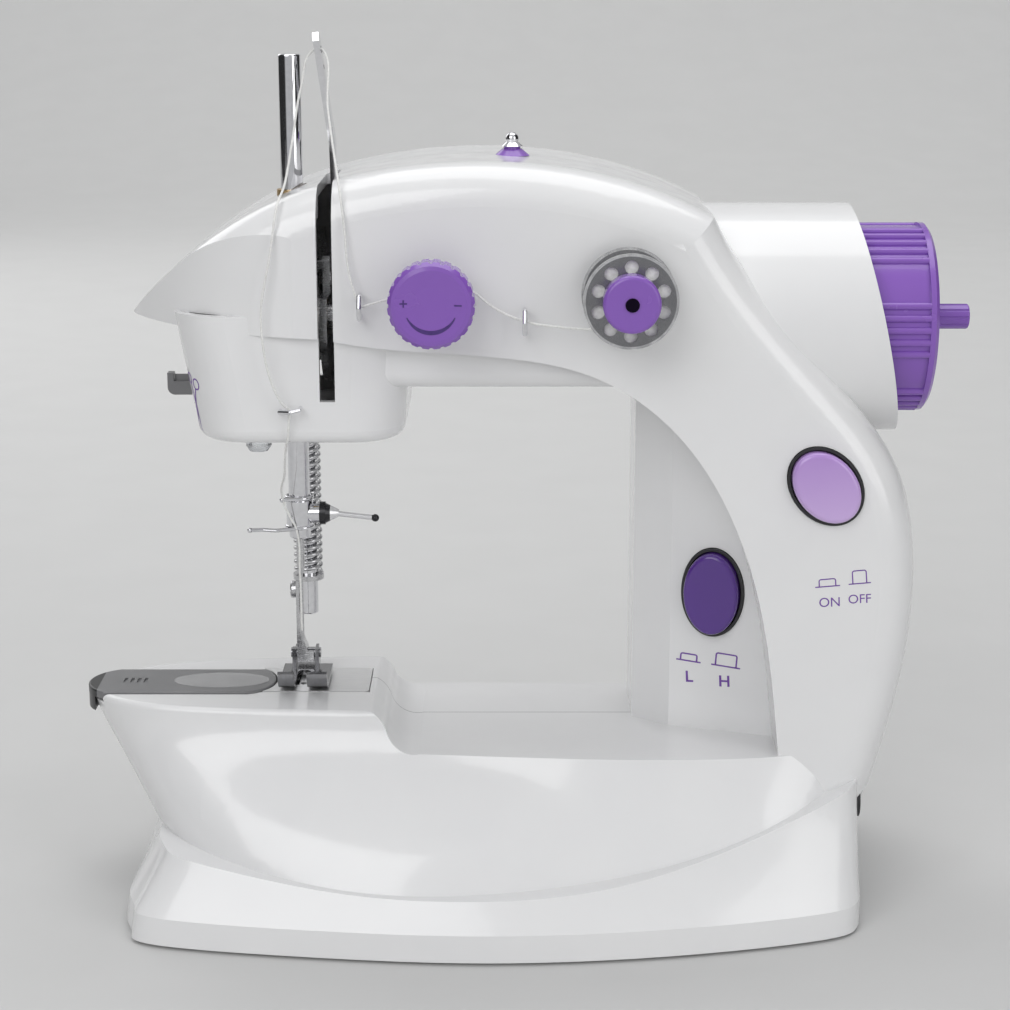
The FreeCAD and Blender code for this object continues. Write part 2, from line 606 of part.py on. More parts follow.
def presser_group():
    bar = rod_z(PRESSER_BAR_R, PRESSER_BAR_BOTTOM, PRESSER_BAR_TOP, PRESSER_X, PRESSER_Y)
    bar = round_edges(bar, 0.4, is_circle)
    keep("presser_bar", bar)
    collar = rod_z(2.8, 126, 130, PRESSER_X, PRESSER_Y)
    nub = box(PRESSER_X - 1.5, PRESSER_X + 1.5, PRESSER_Y + 2, 12.5, 127, 129.5)
    collar = fuse([collar, nub]).cut(rod_z(PRESSER_BAR_R, 100, 140, PRESSER_X, PRESSER_Y))
    seat = rod_z(SPRING_R + 0.6, SPRING_LOW - 1.2, SPRING_LOW, PRESSER_X, PRESSER_Y)
    seat = seat.cut(rod_z(PRESSER_BAR_R, 60, 90, PRESSER_X, PRESSER_Y))
    keep("presser_bar_collars", group([collar, seat]))
    keep("presser_spring", coil(SPRING_LOW + 0.5, 110.4, 1.72))

    # shank of the foot: a sheet strip screwed to the left of the bar
    strip = box(-54.0, -53.2, PRESSER_Y - 2.0, PRESSER_Y + 2.0, 58.0, 71.2)
    ankle = prism([Vector(-54.0, PRESSER_Y - 2.0, 58.5), Vector(-53.2, PRESSER_Y - 2.0, 58.5),
                   Vector(-51.4, PRESSER_Y - 2.0, 53.5), Vector(-50.0, PRESSER_Y - 2.0, 53.5),
                   Vector(-50.0, PRESSER_Y - 2.0, 50.8), Vector(-54.0, PRESSER_Y - 2.0, 50.8)],
                  Vector(0, 4.0, 0))
    shank = fuse([strip, ankle]).cut(rod_x(1.25, -60, -40, PRESSER_Y, 68.6))
    shank = shank.cut(rod_x(1.3, -60, -40, PRESSER_Y, 52.7))
    head = round_edges(rod_x(2.1, -55.4, -54.05, PRESSER_Y, 68.6), 0.5, lambda e: e.BoundBox.XMax < -55.3)
    screw = fuse([head, rod_x(1.2, -54.1, -51.4, PRESSER_Y, 68.6)])
    screw = screw.cut(box(-56, -54.9, PRESSER_Y - 3, PRESSER_Y + 3, 68.3, 68.9))
    keep("foot_shank", group([shank, screw]))
    PARTS["presser_bar"] = PARTS["presser_bar"].cut(rod_x(1.2, -60, -51.4, PRESSER_Y, 68.6))

    # two-toed foot that rocks on a pin through the ankle
    profile = [Vector(0, 9.5, 48.7), Vector(0, -9.6, 48.7)]
    toe_low = Part.Arc(Vector(0, -9.6, 48.7), Vector(0, -12.6, 50.2), Vector(0, -13.9, 53.2))
    toe_end = Part.makeLine(Vector(0, -13.9, 53.2), Vector(0, -13.1, 53.6))
    toe_high = Part.Arc(Vector(0, -13.1, 53.6), Vector(0, -11.9, 51.2), Vector(0, -9.4, 49.9))
    back = Part.makePolygon([Vector(0, -9.4, 49.9), Vector(0, 9.5, 49.9), Vector(0, 9.5, 48.7)])
    edges = [Part.makeLine(*profile), toe_low.toShape(), toe_end, toe_high.toShape()] + back.Edges
    face = Part.Face(Part.Wire(edges))
    face.translate(Vector(-57.2, 0, 0))
    sole = face.extrude(Vector(11.6, 0, 0))
    slot = box(-53.4, -50.4, -20, -2.0, 40, 60).fuse(rod_z(1.5, 40, 60, -51.9, -2.0))
    ears = [box(x, x + 0.9, PRESSER_Y - 2.2, PRESSER_Y + 2.2, 49.8, 54.2) for x in (-55.2, -49.7)]
    foot = fuse([sole] + ears).cut(slot)
    foot = foot.cut(box(-60, -54.6, 4.5, 12, 40, 60)).cut(box(-49.0, -40, 4.5, 12, 40, 60))
    pin = rod_x(1.2, -55.6, -48.4, PRESSER_Y, 52.7)
    keep("presser_foot", fuse([foot, pin]))

    nose = box(PRESSER_X - 1.8, PRESSER_X + 1.8, 9.0, 20.5, 123.2, 126.4)
    hub = rod_x(3.2, PRESSER_X - 2.6, PRESSER_X + 2.6, 21.5, 124.8)
    handle = prism([Vector(PRESSER_X - 2.6, 21.5, 122.0), Vector(PRESSER_X - 2.6, 38.6, 131.6),
                    Vector(PRESSER_X - 2.6, 37.6, 134.6), Vector(PRESSER_X - 2.6, 21.5, 127.4)],
                   Vector(5.2, 0, 0))
    lifter = fuse([nose, hub, handle]).cut(rod_x(1.3, -60, -40, 21.5, 124.8))
    keep("presser_lifter", round_edges(lifter, 0.8, lambda e: e.BoundBox.YMin > 37.5))


def coil(z0, z1, pitch):
    """Spring round the presser bar."""
    helix = Part.makeHelix(pitch, z1 - z0, SPRING_R)
    helix.translate(Vector(PRESSER_X, PRESSER_Y, z0))
    start = Vector(PRESSER_X + SPRING_R, PRESSER_Y, z0)
    along = Vector(0, 1, pitch / (2 * math.pi * SPRING_R))
    circle = Part.Wire([Part.makeCircle(SPRING_WIRE / 2, start, along)])
    return Part.Wire(helix.Edges).makePipeShell([circle], True, True)


def take_up_group():
    half = [(-3.2, 2.0), (-2.0, 20), (-1.5, LEVER_LENGTH - 6), (-1.5, LEVER_LENGTH - 1.5),
            (-1.1, LEVER_LENGTH - 0.5)]
    outline = half + [(0.0, LEVER_LENGTH)] + [(-y, z) for y, z in reversed(half)]
    blade = prism([Vector(-0.7, y, z) for y, z in outline], Vector(1.4, 0, 0))
    leaning = blade.common(box(-2, 2, -5, 5, LEVER_BEND - 0.05, 80))
    for r, below in ((0.8, 4.0), (0.55, 8.0)):
        leaning = leaning.cut(rod_x(r, -5, 5, 0, LEVER_LENGTH - below))
    leaning.rotate(Vector(0, 0, LEVER_BEND), Y_AXIS, -LEVER_LEAN)
    upright = blade.common(box(-2, 2, -5, 5, -10, LEVER_BEND + 0.05))
    lever = fuse([upright, leaning, rod_x(4.6, -0.7, 0.7, 0, 0)]).cut(rod_x(1.55, -5, 5, 0, 0))
    lever.rotate(Vector(0, 0, 0), X_AXIS, LEVER_REST_ANGLE)
    lever.translate(Vector(LEVER_X, LEVER_PIVOT_Y, LEVER_PIVOT_Z))
    keep("take_up_lever", lever)


def head_frame():
    """Steel plate across the head: front shaft bearing and lever pivot."""
    plate = box(-40.2, -38.4, -18, 18, 126, 160)
    plate = plate.cut(rod_x(5.0, -50, -30, 0, SHAFT_Z))
    plate = plate.cut(rod_x(1.5, -50, -30, LEVER_PIVOT_Y, LEVER_PIVOT_Z))
    ears = [box(-40.2, -30.0, y, y + 1.8, 128, 156) for y in (-18.0, 16.2)]
    bearing = box(25.0, 29.0, -20, 20, 128.5, 148).cut(rod_x(5.5, 20, 35, 0, SHAFT_Z))
    motor_plate = box(41.0, 42.9, -7, 7, 100.6, 123.0).cut(rod_x(3.4, 30, 50, 0, MOTOR_Z))
    keep("inner_brackets", group([fuse([plate] + ears), bearing, motor_plate]))
    lever_pin = rod_x(1.5, -43.65, -36.5, LEVER_PIVOT_Y, LEVER_PIVOT_Z)
    lifter_pin = rod_x(1.25, PRESSER_X - 6.5, PRESSER_X + 6.5, 21.5, 124.8)
    keep("pivot_pins", group([lever_pin, lifter_pin]))

    low_bush = rod_z(3.45, HEAD_BOTTOM_Z + 0.1, 116.2, NEEDLE_X, NEEDLE_Y)
    high_bush = rod_z(3.45, 158.5, 165.5, NEEDLE_X, NEEDLE_Y)
    bar_space = rod_z(NEEDLE_BAR_R + FIT, 100, 200, NEEDLE_X, NEEDLE_Y)
    presser_bush = rod_z(3.35, HEAD_BOTTOM_Z + 0.1, 116.2, PRESSER_X, PRESSER_Y)
    presser_space = rod_z(PRESSER_BAR_R + FIT, 100, 200, PRESSER_X, PRESSER_Y)
    shaft_space = rod_x(SHAFT_R + FIT, -60, 90, 0, SHAFT_Z)
    shaft_bushes = [rod_x(4.95, -41.4, -37.2, 0, SHAFT_Z), rod_x(5.5, 24.0, 30.0, 0, SHAFT_Z)]
    keep("bushes", group([low_bush.cut(bar_space), high_bush.cut(bar_space), presser_bush.cut(presser_space)]
                         + [bush.cut(shaft_space) for bush in shaft_bushes]))


# ---- drive --------------------------------------------------------------
GEAR_X = (34.0, 38.5)
BELT_X = (65.5, 69.0)
PULLEY_R = 7.0


def gear(teeth, phase, tip_r, root_r, z, bore):
    """Spur gear on an X axis with slim straight-sided teeth."""
    x0, x1 = GEAR_X
    points = []
    for tooth in range(teeth):
        middle = 2 * math.pi * tooth / teeth + math.radians(phase)
        for part_turn, r in ((-0.22, root_r), (-0.09, tip_r), (0.09, tip_r), (0.22, root_r)):
            angle = middle + part_turn * 2 * math.pi / teeth
            points.append(Vector(x0, r * math.cos(angle), z + r * math.sin(angle)))
    wheel = prism(points, Vector(x1 - x0, 0, 0))
    return wheel.cut(rod_x(bore, x0 - 1, x1 + 1, 0, z))


def main_shaft_group():
    keep("main_shaft", rod_x(SHAFT_R, CRANK_X[0], 79.5, 0, SHAFT_Z))
    disc = rod_x(14.8, CRANK_X[0], CRANK_X[1], 0, SHAFT_Z)
    disc = disc.cut(rod_x(SHAFT_R, -60, 0, 0, SHAFT_Z))
    disc = disc.cut(rod_x(1.5, -60, 0, 0, SHAFT_Z + CRANK_THROW))
    weight_cut = box(-60, -40, -16, 16, SHAFT_Z + 6, SHAFT_Z + 20)
    disc = disc.cut(weight_cut.cut(rod_x(4.2, -60, -40, 0, SHAFT_Z + CRANK_THROW))
                    .cut(box(-60, -40, -4.2, 4.2, SHAFT_Z, SHAFT_Z + CRANK_THROW)))
    pin = rod_x(1.5, YOKE_X[0] + 0.4, CRANK_X[1], 0, SHAFT_Z + CRANK_THROW)
    keep("crank", group([disc, pin]))
    keep("drive_gear", gear(40, 0.0, 20.0, 18.3, SHAFT_Z, SHAFT_R))
    keep("upper_pulley", pulley(0, SHAFT_Z, SHAFT_R))


def pulley(y, z, bore):
    x0, x1 = BELT_X
    wheel = rod_x(PULLEY_R, x0 - 0.8, x1 + 0.8, y, z)
    flanges = [rod_x(PULLEY_R + 1.8, x, x + 0.7, y, z) for x in (x0 - 1.5, x1 + 0.8)]
    return fuse([wheel] + flanges).cut(rod_x(bore, 40, 90, y, z))


def belt():
    """Flat loop round the two pulleys: outer capsule less inner capsule."""
    x0, x1 = BELT_X
    inner_r = PULLEY_R + GAP
    shapes = []
    for r in (inner_r + 1.3, inner_r):
        run = Vector(0, LOWER_Y, LOWER_Z - SHAFT_Z)
        length = math.hypot(run.y, run.z)
        slab = Part.makeBox(x1 - x0, 2 * r, length, Vector(x0, -r, 0))
        lean = math.degrees(math.atan2(-run.y, -run.z))
        slab.rotate(Vector(0, 0, 0), X_AXIS, -lean)
        slab.translate(Vector(0, LOWER_Y, LOWER_Z))
        ends = [rod_x(r, x0, x1, 0, SHAFT_Z), rod_x(r, x0, x1, LOWER_Y, LOWER_Z)]
        shapes.append(fuse([slab] + ends))
    keep("timing_belt", shapes[0].cut(shapes[1]))


def motor_group():
    can = rod_x(MOTOR_R, 43.0, 62.0, 0, MOTOR_Z)
    can = round_edges(can, 1.2, is_circle)
    rear = rod_x(3.2, 61.9, 63.4, 0, MOTOR_Z)
    keep("motor", fuse([can, rear]).cut(rod_x(1.0 + FIT, 30, 60, 0, MOTOR_Z)))
    shaft = rod_x(1.0, 33.6, 58.0, 0, MOTOR_Z)
    keep("motor_pinion", group([shaft, gear(9, -10.0, 4.8, 3.2, MOTOR_Z, 1.0)]))


def lower_shaft_group():
    shaft = rod_x(LOWER_SHAFT_R, -49.4, 72.0, LOWER_Y, LOWER_Z)
    keep("lower_pulley", pulley(LOWER_Y, LOWER_Z, LOWER_SHAFT_R))
    disc = rod_x(HOOK_R, -49.4, -47.6, LOWER_Y, LOWER_Z)
    ring = rod_x(HOOK_R, -54.2, -49.4, LOWER_Y, LOWER_Z)
    sector = ring.cut(rod_x(HOOK_R - 1.1, -55, -49.4, LOWER_Y, LOWER_Z))
    wedge = prism([Vector(-55, 0, 0), Vector(-55, -20, 2.0), Vector(-55, -22, 22), Vector(-55, 1.5, 20)],
                  Vector(6, 0, 0))
    wedge.rotate(Vector(0, 0, 0), X_AXIS, -8)
    wedge.translate(Vector(0, LOWER_Y, LOWER_Z))
    hook = fuse([disc, sector.common(wedge)]).cut(rod_x(LOWER_SHAFT_R, -60, -40, LOWER_Y, LOWER_Z))
    keep("rotary_hook", hook)
    eccentric = rod_x(4.5, -45.5, -42.5, LOWER_Y + 1.5, LOWER_Z).cut(
        rod_x(LOWER_SHAFT_R, -60, -30, LOWER_Y, LOWER_Z))
    keep("lower_shaft", group([shaft, eccentric]))
    stands = []
    for x in (-37.0, 58.0):
        stand = box(x, x + 4, LOWER_Y - 6, LOWER_Y + 6, 20.8, 36.4)
        stands.append(stand.cut(rod_x(LOWER_SHAFT_R + FIT, x - 1, x + 5, LOWER_Y, LOWER_Z)))
    keep("lower_bearings", group(stands))


def feed_group():
    """Feed dog: toothed bars in the needle plate, on a carrier pushed by the eccentric."""
    plate = box(-55.6, -42.6, -2.8, 10.5, 45.0, 45.8)
    plate = plate.cut(box(NEEDLE_X - 1.3, NEEDLE_X + 2.5, -10.0, -0.5, 40, 50))
    bars = []
    for x in (-55.4, -49.4):
        bar = box(x, x + 2.2, -2.6, 4.6, 45.7, 47.9)
        for tooth in range(5):
            y = -2.4 + 1.4 * tooth
            bar = bar.fuse(prism([Vector(x, y, 47.85), Vector(x, y + 1.2, 47.85), Vector(x, y + 0.9, 48.3)],
                                 Vector(2.2, 0, 0)))
        bars.append(bar)
    leg = box(-47.2, -42.6, 9.0, 10.5, 25.0, 45.8)
    floor = box(-45.8, -42.6, -10.0, 10.5, 25.0, 26.4)
    forks = [box(-45.8, -42.6, y, y + 1.5, 26.3, 38.0) for y in (-10.0, 1.5)]
    keep("feed_dog", fuse([plate, leg, floor] + bars + forks))


def needle_plate():
    plate = box(-62.0, -36.0, -10.6, 6.8, 46.6, 48.0)
    plate = round_edges(plate, 1.0, lambda e: e.BoundBox.ZLength > 1 and e.BoundBox.XMin > -40)
    plate = plate.cut(bobbin_cover_plan(0.35, 40, 60))
    slots = [box(x - 0.35, x + 2.55, -6.1, 5.1, 40, 60) for x in (-55.4, -49.4)]
    hole = rod_z(0.8, 40, 60, NEEDLE_X, NEEDLE_Y)
    keep("needle_plate", plate.cut(slots + [hole]))


# ---- bobbins ------------------------------------------------------------
def bobbin(start, axis, hole_r):
    """Steel bobbin with ten holes in each flange, built along Z then placed."""
    hub = Part.makeCylinder(4.0, BOBBIN_WIDTH)
    flange = Part.makeCylinder(BOBBIN_R, 0.9)
    for hole in range(10):
        angle = 2 * math.pi * (hole + 0.5) / 10
        centre = Vector(7.3 * math.cos(angle), 7.3 * math.sin(angle), -1)
        flange = flange.cut(Part.makeCylinder(1.45, 3, centre))
    other = flange.copy()
    other.translate(Vector(0, 0, BOBBIN_WIDTH - 0.9))
    solid = fuse([hub, flange, other]).cut(Part.makeCylinder(hole_r, 40, Vector(0, 0, -5)))
    winding = Part.makeCylinder(8.7, BOBBIN_WIDTH - 1.8, Vector(0, 0, 0.9)).cut(
        Part.makeCylinder(4.0, 40, Vector(0, 0, -5)))
    place = FreeCAD.Placement(start, FreeCAD.Rotation(Z_AXIS, axis))
    solid.Placement = place
    winding.Placement = place
    return solid, winding


def lower_bobbin_group():
    cup = rod_x(11.4, -70.2, -56.4, LOWER_Y, LOWER_Z).cut(rod_x(10.55, -71, -57.3, LOWER_Y, LOWER_Z))
    cup = cup.cut(box(-69.0, -60.0, LOWER_Y - 9, LOWER_Y + 9, LOWER_Z + 2, LOWER_Z + 20))
    post = rod_x(2.6, -69.6, -57.0, LOWER_Y, LOWER_Z)
    stand = box(-70.2, -57.0, LOWER_Y - 4, LOWER_Y + 4, 20.8, LOWER_Z - 11.0)
    keep("bobbin_case", fuse([cup, post, stand]))
    steel, winding = bobbin(Vector(-57.5, LOWER_Y, LOWER_Z), Vector(-1, 0, 0), 2.9)
    keep("lower_bobbin", group([steel, winding]))


def bobbin_cover():
    cover = bobbin_cover_plan(0.0, 46.5, 48.3)
    cover = round_edges(cover, 0.5, lambda e: e.BoundBox.ZMin > 48.25)
    lip = bobbin_cover_plan(-0.05, 43.0, 48.1).common(box(-110, -100.9, -20, 20, 40, 50))
    cover = fuse([cover, lip])
    for rib in range(4):
        cover = cover.cut(box(-95.0 + 1.6 * rib, -94.2 + 1.6 * rib, -5.2, -1.8, 47.9, 50))
    keep("bobbin_cover", cover)


# ---- things on the outside ----------------------------------------------
def hand_wheel():
    left = WHEEL_LEFT
    lip = WHEEL_LIP
    bore = SPINDLE_R + FIT
    profile = [(left, 3.0), (left, 6.0), (left + 3.4, 6.0), (left + 3.4, 18.4), (left + 0.6, 18.4),
               (left + 0.6, 20.9), (lip - 1.2, 20.9), (lip - 1.2, 21.6), (lip, 21.6), (lip + 0.8, 20.6),
               (WHEEL_FACE - 0.4, 14.0), (WHEEL_FACE, 8.0), (WHEEL_FACE, bore), (79.6, bore), (79.6, 3.0)]
    wheel = turned(profile, Vector(0, 0, SHAFT_Z), X_AXIS)
    ridges = []
    for cluster in range(6):
        for ridge in range(5):
            angle = math.radians(60 * cluster + 7.5 * (ridge - 2))
            ridges.append(rod_x(0.85, WHEEL_LEFT + 0.6, WHEEL_LIP - 1.1, 20.9 * math.cos(angle),
                                SHAFT_Z + 20.9 * math.sin(angle)))
    keep("hand_wheel", wheel.fuse(ridges).removeSplitter())
    spindle = rod_x(SPINDLE_R, 87.2, MACHINE_HALF_LENGTH, 0, SHAFT_Z)
    spindle = round_edges(spindle, 0.5, lambda e: e.BoundBox.XMin > 103)
    for spline in range(10):
        angle = 2 * math.pi * spline / 10
        groove = rod_x(0.42, 95.6, 110, 3.05 * math.cos(angle), SHAFT_Z + 3.05 * math.sin(angle))
        spindle = spindle.cut(groove)
    keep("winder_spindle", spindle)


def tension_group():
    x, z = TENSION_X, TENSION_Z
    post = fuse([rod_y(1.9, -44.6, -24.5, x, z), rod_y(4.2, -26.6, -24.5, x, z)])
    dish = [(0, 2.0), (0, 6.6), (0.7, 7.4), (0.9, 7.4), (0.9, 2.0)]
    discs = [turned(dish, Vector(x, y, z), Vector(0, turn, 0)) for y, turn in ((-30.9, -1), (-33.6, 1))]
    spring = turned([(0, 2.1), (0, 3.0), (2.2, 4.8), (2.2, 5.3), (-0.2, 3.4), (-0.2, 2.1)],
                    Vector(x, -36.4, z), Y_AXIS)
    keep("tension_discs", group([post, spring] + discs))
    profile = [(0, 2.0), (0, 8.4), (0.8, 9.3), (6.0, 9.3), (7.0, 8.5), (7.2, 7.6), (7.0, 4.0), (7.0, 0),
               (6.2, 0), (6.2, 2.0)]
    knob = turned(profile, Vector(x, -38.6, z), Vector(0, -1, 0))
    notches = []
    for notch in range(24):
        angle = 2 * math.pi * notch / 24
        notches.append(rod_y(0.6, -46, -38, x + 9.55 * math.cos(angle), z + 9.55 * math.sin(angle)))
    keep("tension_knob", knob.cut(notches))


def spool_group():
    x, z = SPOOL_X, SPOOL_Z
    keep("spool_pin", fuse([rod_y(1.45, -50.2, -26, x, z), rod_y(4.0, -33.0, -30.0, x, z),
                            rod_y(3.6, -27.7, -26, x, z)]))
    steel, winding = bobbin(Vector(x, -33.4, z), Vector(0, -1, 0), 2.9)
    keep("upper_bobbin", steel)
    keep("upper_bobbin_thread", winding)
    cap = rod_y(6.15, -49.8, -45.3, x, z)
    cap = round_edges(cap, 0.9, lambda e: e.BoundBox.YMax < -49.7)
    sleeve = rod_y(2.75, -45.4, -40, x, z)
    keep("spool_cap", fuse([cap, sleeve]).cut(rod_y(1.5, -60, -30, x, z)))


def thread_guides():
    wires = []
    for x, z, depth in ((-35.3, 142.9, 30.0), (0.5, 139.7, 30.0)):
        surface = -depth
        wires.append(wire_rod([Vector(x, surface + 1.5, z - 2.4), Vector(x, surface - 4.0, z - 2.4),
                               Vector(x, surface - 5.0, z), Vector(x, surface - 4.0, z + 2.4),
                               Vector(x, surface - 1.2, z + 2.4)], 0.55))
    wires.append(wire_rod([Vector(-49.0, -26.5, 119.7), Vector(-49.0, -30.5, 119.7),
                           Vector(-51.0, -31.6, 119.4), Vector(-53.4, -30.2, 119.2),
                           Vector(-53.4, -28.6, 119.2)], 0.5))
    keep("thread_guides", group(wires))
    cone = Part.makeCone(4.0, 2.2, 1.5, Vector(-2.2, -3.0, 172.9))
    washer = fuse([rod_z(1.15, 168.5, 173.5, -2.2, -3.0), cone, rod_z(1.9, 174.3, 175.0, -2.2, -3.0)])
    keep("winding_guide_base", washer)
    dome = fuse([ball(1.5, -2.2, -3.0, 176.6), rod_z(0.9, 175.0, 176.0, -2.2, -3.0),
                 Part.makeCone(2.5, 1.2, 1.1, Vector(-2.2, -3.0, 175.0))])
    keep("winding_guide", dome)


def cutter_and_lamp():
    blade = box(-79.1, -75.2, -11.1, -10.7, 122.7, 124.2)
    keep("thread_cutter", group([cutter_hook(), blade]))
    lens = fuse([rod_z(2.9, 109.6, 114.5, -59.3, -20.0), ball(2.9, -59.3, -20.0, 110.4)])
    keep("lamp", lens.cut(box(-70, -50, -30, -10, 90, 108.4)))


def cutter_hook():
    """Open hook on the left of the head that guides the thread on to the cutting blade."""
    corner = Part.Arc(Vector(-80.6, 0, 121.4), Vector(-80.1, 0, 120.1), Vector(-78.8, 0, 119.6))
    ends = xz([(-78.8, 119.6), (-74.2, 119.6), (-74.2, 122.7), (-79.2, 122.7), (-79.2, 124.6),
               (-80.6, 124.6), (-80.6, 121.4)])
    return slab_y([corner.toShape()] + Part.makePolygon(ends).Edges, -12.2, -9.6)


def buttons():
    ring = speed_oval(0.4, 0.8, 3.0).cut(speed_oval(-0.2, 5, 10))
    rings = [ring]
    keep("speed_button", dished(speed_oval(-0.5, 3.2, 6.0)))
    ring = power_oval(0.4, 0.6, 3.0).cut(power_oval(-0.2, 5, 10))
    rings.append(ring)
    keep("button_rings", group(rings))
    keep("power_button", dished(power_oval(-0.5, 2.8, 6.0)))
    board = box(38.0, 60.0, 13.2, 14.6, 50, 97)
    switch = box(POWER_X - 4.5, POWER_X + 4.5, -19.4, -12.5, POWER_Z - 4.5, POWER_Z + 4.5)
    speed = speed_placed(box(SPEED_X - 4.0, SPEED_X + 4.0, -1.6, 5.0, SPEED_Z - 4.5, SPEED_Z + 4.5))
    keep("circuit_board", group([board, switch, speed]))


def dished(plug):
    return round_edges(plug, 1.1, lambda e: e.Length > 40 and e.BoundBox.YMin == plug.BoundBox.YMin)


THREAD_R = 0.2


def threads():
    """Upper thread along its guides; it is held all the way."""
    guide_b = Vector(0.5, -33.2, 139.9)
    guide_a = Vector(-35.3, -33.2, 142.9)
    guide_c = Vector(-51.2, -29.6, 119.6)
    eye = lever_eye()
    aside = Vector(1.3, 0, 0)
    supply = [Vector(SPOOL_X - 6.6, -37.0, SPOOL_Z - 6.5), guide_b, Vector(-11.6, -32.25, 146.6),
              Vector(-19.4, -32.25, 148.2), Vector(-27.2, -32.25, 145.2), guide_a]
    at_lever = [guide_a, Vector(-38.3, -31.0, 160.0), Vector(-39.2, -29.6, 166.4),
                Vector(-40.2, -25.5, 170.8), eye + aside, eye - aside, Vector(-52.0, -20.0, 168.0),
                Vector(-53.2, -28.2, 163.4), Vector(-54.2, -30.6, 156.0), Vector(-56.8, -31.0, 138.0),
                Vector(-53.0, -30.3, 121.5), guide_c]
    needle_run = [guide_c, Vector(-52.0, -28.8, 113.4), Vector(-52.6, -26.0, 110.6),
                  Vector(-55.4, -8.3, 94.0), Vector(NEEDLE_X - 0.6, NEEDLE_Y - 3.4, 87.2),
                  Vector(NEEDLE_X, NEEDLE_Y - 0.7, NEEDLE_TIP_Z + 4.5)]
    keep("thread_supply", wire_rod(supply, THREAD_R))
    keep("thread_at_lever", wire_rod(at_lever, THREAD_R))
    keep("thread_to_needle", wire_rod(needle_run, THREAD_R))


def lever_eye():
    """Middle of the larger hole near the tip of the take-up lever."""
    angle = math.radians(LEVER_REST_ANGLE)
    lean = math.radians(LEVER_LEAN)
    beyond = LEVER_LENGTH - 4.0 - LEVER_BEND
    reach = LEVER_BEND + beyond * math.cos(lean)
    return Vector(LEVER_X - beyond * math.sin(lean), LEVER_PIVOT_Y - reach * math.sin(angle),
                  LEVER_PIVOT_Z + reach * math.cos(angle))


def build():
    for make in (shells, bottom, power_supply, needle_bar_group, presser_group, take_up_group, head_frame,
                 main_shaft_group, belt, motor_group, lower_shaft_group, feed_group, needle_plate,
                 lower_bobbin_group, bobbin_cover, hand_wheel, tension_group, spool_group, thread_guides,
                 cutter_and_lamp, buttons, threads):
        make()
    os.makedirs("parts", exist_ok=True)
    for name, shape in PARTS.items():
        shape.exportStep(os.path.join("parts", name + ".step"))


build()
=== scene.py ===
import bpy
import bmesh
import json
import math
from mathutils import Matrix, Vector
from mathutils.bvhtree import BVHTree


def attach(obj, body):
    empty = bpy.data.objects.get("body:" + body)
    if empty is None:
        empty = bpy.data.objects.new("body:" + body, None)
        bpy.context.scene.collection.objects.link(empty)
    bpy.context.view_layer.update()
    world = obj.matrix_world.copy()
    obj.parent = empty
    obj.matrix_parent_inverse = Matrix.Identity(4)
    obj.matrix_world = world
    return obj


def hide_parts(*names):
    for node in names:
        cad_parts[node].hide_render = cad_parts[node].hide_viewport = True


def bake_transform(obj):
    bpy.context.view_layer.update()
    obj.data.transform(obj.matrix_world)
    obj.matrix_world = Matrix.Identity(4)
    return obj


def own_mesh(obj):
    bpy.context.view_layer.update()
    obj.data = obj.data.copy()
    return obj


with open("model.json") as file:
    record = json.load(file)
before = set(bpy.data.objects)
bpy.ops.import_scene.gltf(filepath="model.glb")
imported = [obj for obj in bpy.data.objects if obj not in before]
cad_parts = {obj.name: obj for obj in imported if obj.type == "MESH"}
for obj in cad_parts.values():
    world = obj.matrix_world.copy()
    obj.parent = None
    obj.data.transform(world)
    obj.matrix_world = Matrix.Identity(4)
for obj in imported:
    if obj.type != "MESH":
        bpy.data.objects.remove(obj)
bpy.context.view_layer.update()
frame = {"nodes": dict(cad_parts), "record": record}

NODES = frame["nodes"]
MM = 0.001

# Camera, in metres and in millimetres of lens and sensor.
CAMERA_AT = (-0.0038, -0.50455, 0.21645)
CAMERA_TARGET = (-0.0038, 0.0, 0.09065)
LENS = 78.4
SENSOR = 36.0

# Strength of the surround, and power of each soft box in watts.
SKY = 0.52
SKY_SEEN = 0.62
SKY_SIDE_SHARE = 0.06
KEY = 6.4
FILL = 3.8
TOP = 4.0
BACK = 2.0
BACKDROP = 14.0
BOX_TARGET = (0.0, 0.0, 0.10)

# The paper that the machine stands on, in metres.
PAPER_SIDE = 1.7
PAPER_FLAT = 1.3
PAPER_CURVE = 1.2
PAPER_TOP = 3.0

# Places on the object where a finish changes, in metres.
SEAM_HALF_WIDTH = 0.00014
FADE_Z = (0.094, 0.111)
COVER_TONGUE_X = -0.1003
ROD_X = (-0.0447, -0.0350)
# Painted shade: the spool pin is painted near-black where Y is below this, for the shaded
# hole in the cap.
PIN_PAINTED_SHADE_Y = -0.0480
BOBBIN_AXIS = (0.0228, 0.1459)
# Painted highlight: the bobbin flange is painted lighter outside this radius.
BOBBIN_HIGHLIGHT_RADIUS = 0.0096
TURNING_RINGS = 42000.0

# Thread, spring and prints.
THREAD_RADIUS = 0.00026
COIL_AXIS = (-0.0510, 0.0046)
COIL_Z = (0.07318, 0.1104)
COIL_RADIUS = 0.00305
WIRE_RADIUS = 0.00045
COIL_TURNS = 22
STEPS_PER_TURN = 14
PRINT_LIFT = 0.00004
PRINT_START = 0.1
WINDOW_SIDES = 64


# ---- camera and light -------------------------------------------------------
def aim(thing, target):
    way = Vector(target) - thing.location
    thing.rotation_euler = way.to_track_quat("-Z", "Y").to_euler()


def camera():
    data = bpy.data.cameras.new("camera")
    data.lens = LENS
    data.sensor_width = SENSOR
    data.clip_start = 0.01
    thing = bpy.data.objects.new("camera", data)
    bpy.context.scene.collection.objects.link(thing)
    thing.location = CAMERA_AT
    aim(thing, CAMERA_TARGET)
    bpy.context.scene.camera = thing


